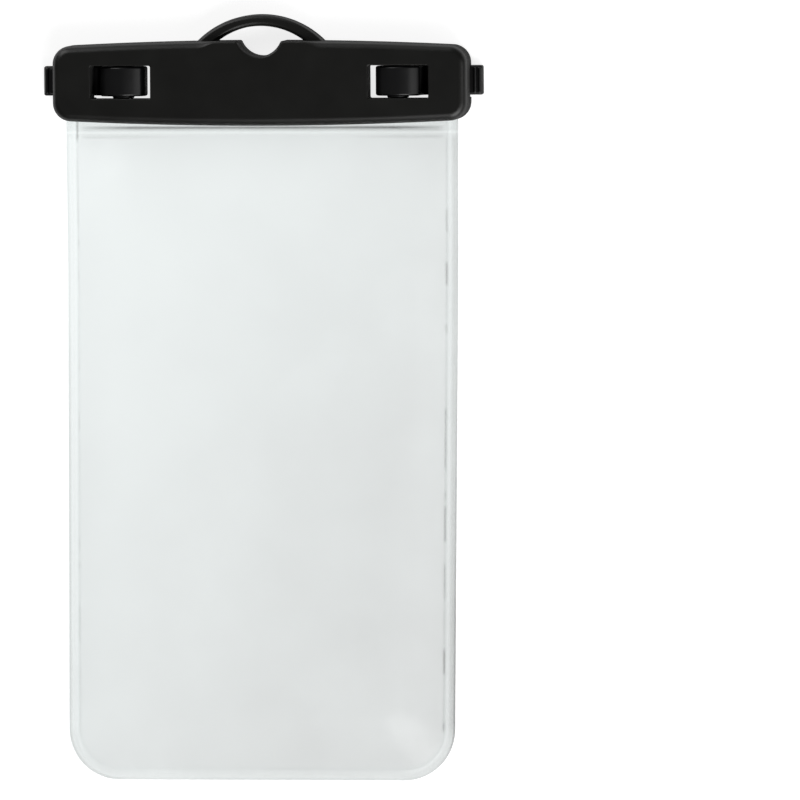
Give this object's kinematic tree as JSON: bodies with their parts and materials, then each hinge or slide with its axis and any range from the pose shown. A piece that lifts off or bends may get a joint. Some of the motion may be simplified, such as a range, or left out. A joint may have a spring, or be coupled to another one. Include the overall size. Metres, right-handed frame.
{
  "type": "waterproof phone pouch",
  "caption": "Clear welded film bag for a phone, its mouth pinched shut in a black two-jaw clamp bar with a lanyard loop, locked by two fold-out cam levers.",
  "frame": {"origin": "middle of the pouch's length and width, on the plane that it lies on", "axes": "+X to the pouch's right seen from its front, +Y along the pouch towards the clamp bar and its lanyard loop, +Z out of its front; it lies on its back"},
  "size_m": [0.126, 0.218, 0.0124],
  "materials": {
    "clamp_plastic": "black satin moulded plastic",
    "lever_plastic": "black satin moulded plastic, a little smoother than the jaws",
    "seal_rubber": "soft grey silicone",
    "clear_film": "clear soft film with a faint green-grey tint, glossy"
  },
  "bodies": {
    "root": {"front_jaw": "clamp_plastic", "rear_jaw": "clamp_plastic", "seal_strip": "seal_rubber", "front_film": "clear_film", "rear_film": "clear_film"},
    "left_lever": {"left_lever": "lever_plastic"},
    "right_lever": {"right_lever": "lever_plastic"}
  },
  "joints": [
    {"name": "left_lever_hinge", "type": "hinge", "parent": "root", "child": "left_lever", "pos_m": [-0.03935, 0.0894, 0.0084], "axis": [0, -1, 0], "range_deg": [0, 90]},
    {"name": "right_lever_hinge", "type": "hinge", "parent": "root", "child": "right_lever", "pos_m": [0.03935, 0.0894, 0.0084], "axis": [0, 1, 0], "range_deg": [0, 90]}
  ]
}
